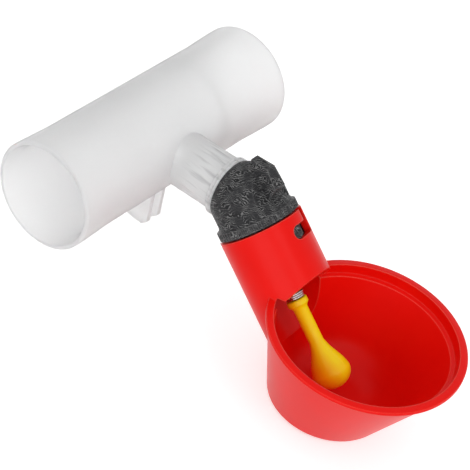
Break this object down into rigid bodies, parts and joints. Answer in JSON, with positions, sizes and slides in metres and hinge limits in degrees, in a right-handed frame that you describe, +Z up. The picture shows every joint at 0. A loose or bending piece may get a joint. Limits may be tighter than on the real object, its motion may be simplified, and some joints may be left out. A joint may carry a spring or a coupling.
{
  "type": "poultry drinking cup",
  "caption": "Trigger-operated drinking cup on a 45 degree valve elbow, with a translucent pipe tee that slides onto a 32 mm water pipe.",
  "frame": {"origin": "middle of the tee's run, on the pipe's axis", "axes": "+X along the pipe, +Z up out of the cup's level mouth, and the cup hangs towards -Y"},
  "size_m": [0.103, 0.1531, 0.0685],
  "materials": {
    "natural_plastic": "translucent, smooth",
    "black_plastic": "mottled satin",
    "red_plastic": "gloss",
    "yellow_plastic": "gloss",
    "steel": "bright",
    "rubber": "matt"
  },
  "bodies": {
    "holder": {"tee": "natural_plastic", "valve_body": "black_plastic", "cup": "red_plastic", "spring": "steel", "spring_plate": "steel", "seat_washer": "rubber", "spigot_rings": "rubber"},
    "trigger_assembly": {"trigger": "yellow_plastic", "valve_stem": "steel"}
  },
  "joints": [
    {"name": "trigger_tilt", "type": "hinge", "parent": "holder", "child": "trigger_assembly", "pos_m": [0, -0.05829, -0.00787], "axis": [1, 0, 0], "range_deg": [-8, 3], "stiffness_Nm_per_rad": 0.05, "deforming": ["spring"]}
  ]
}
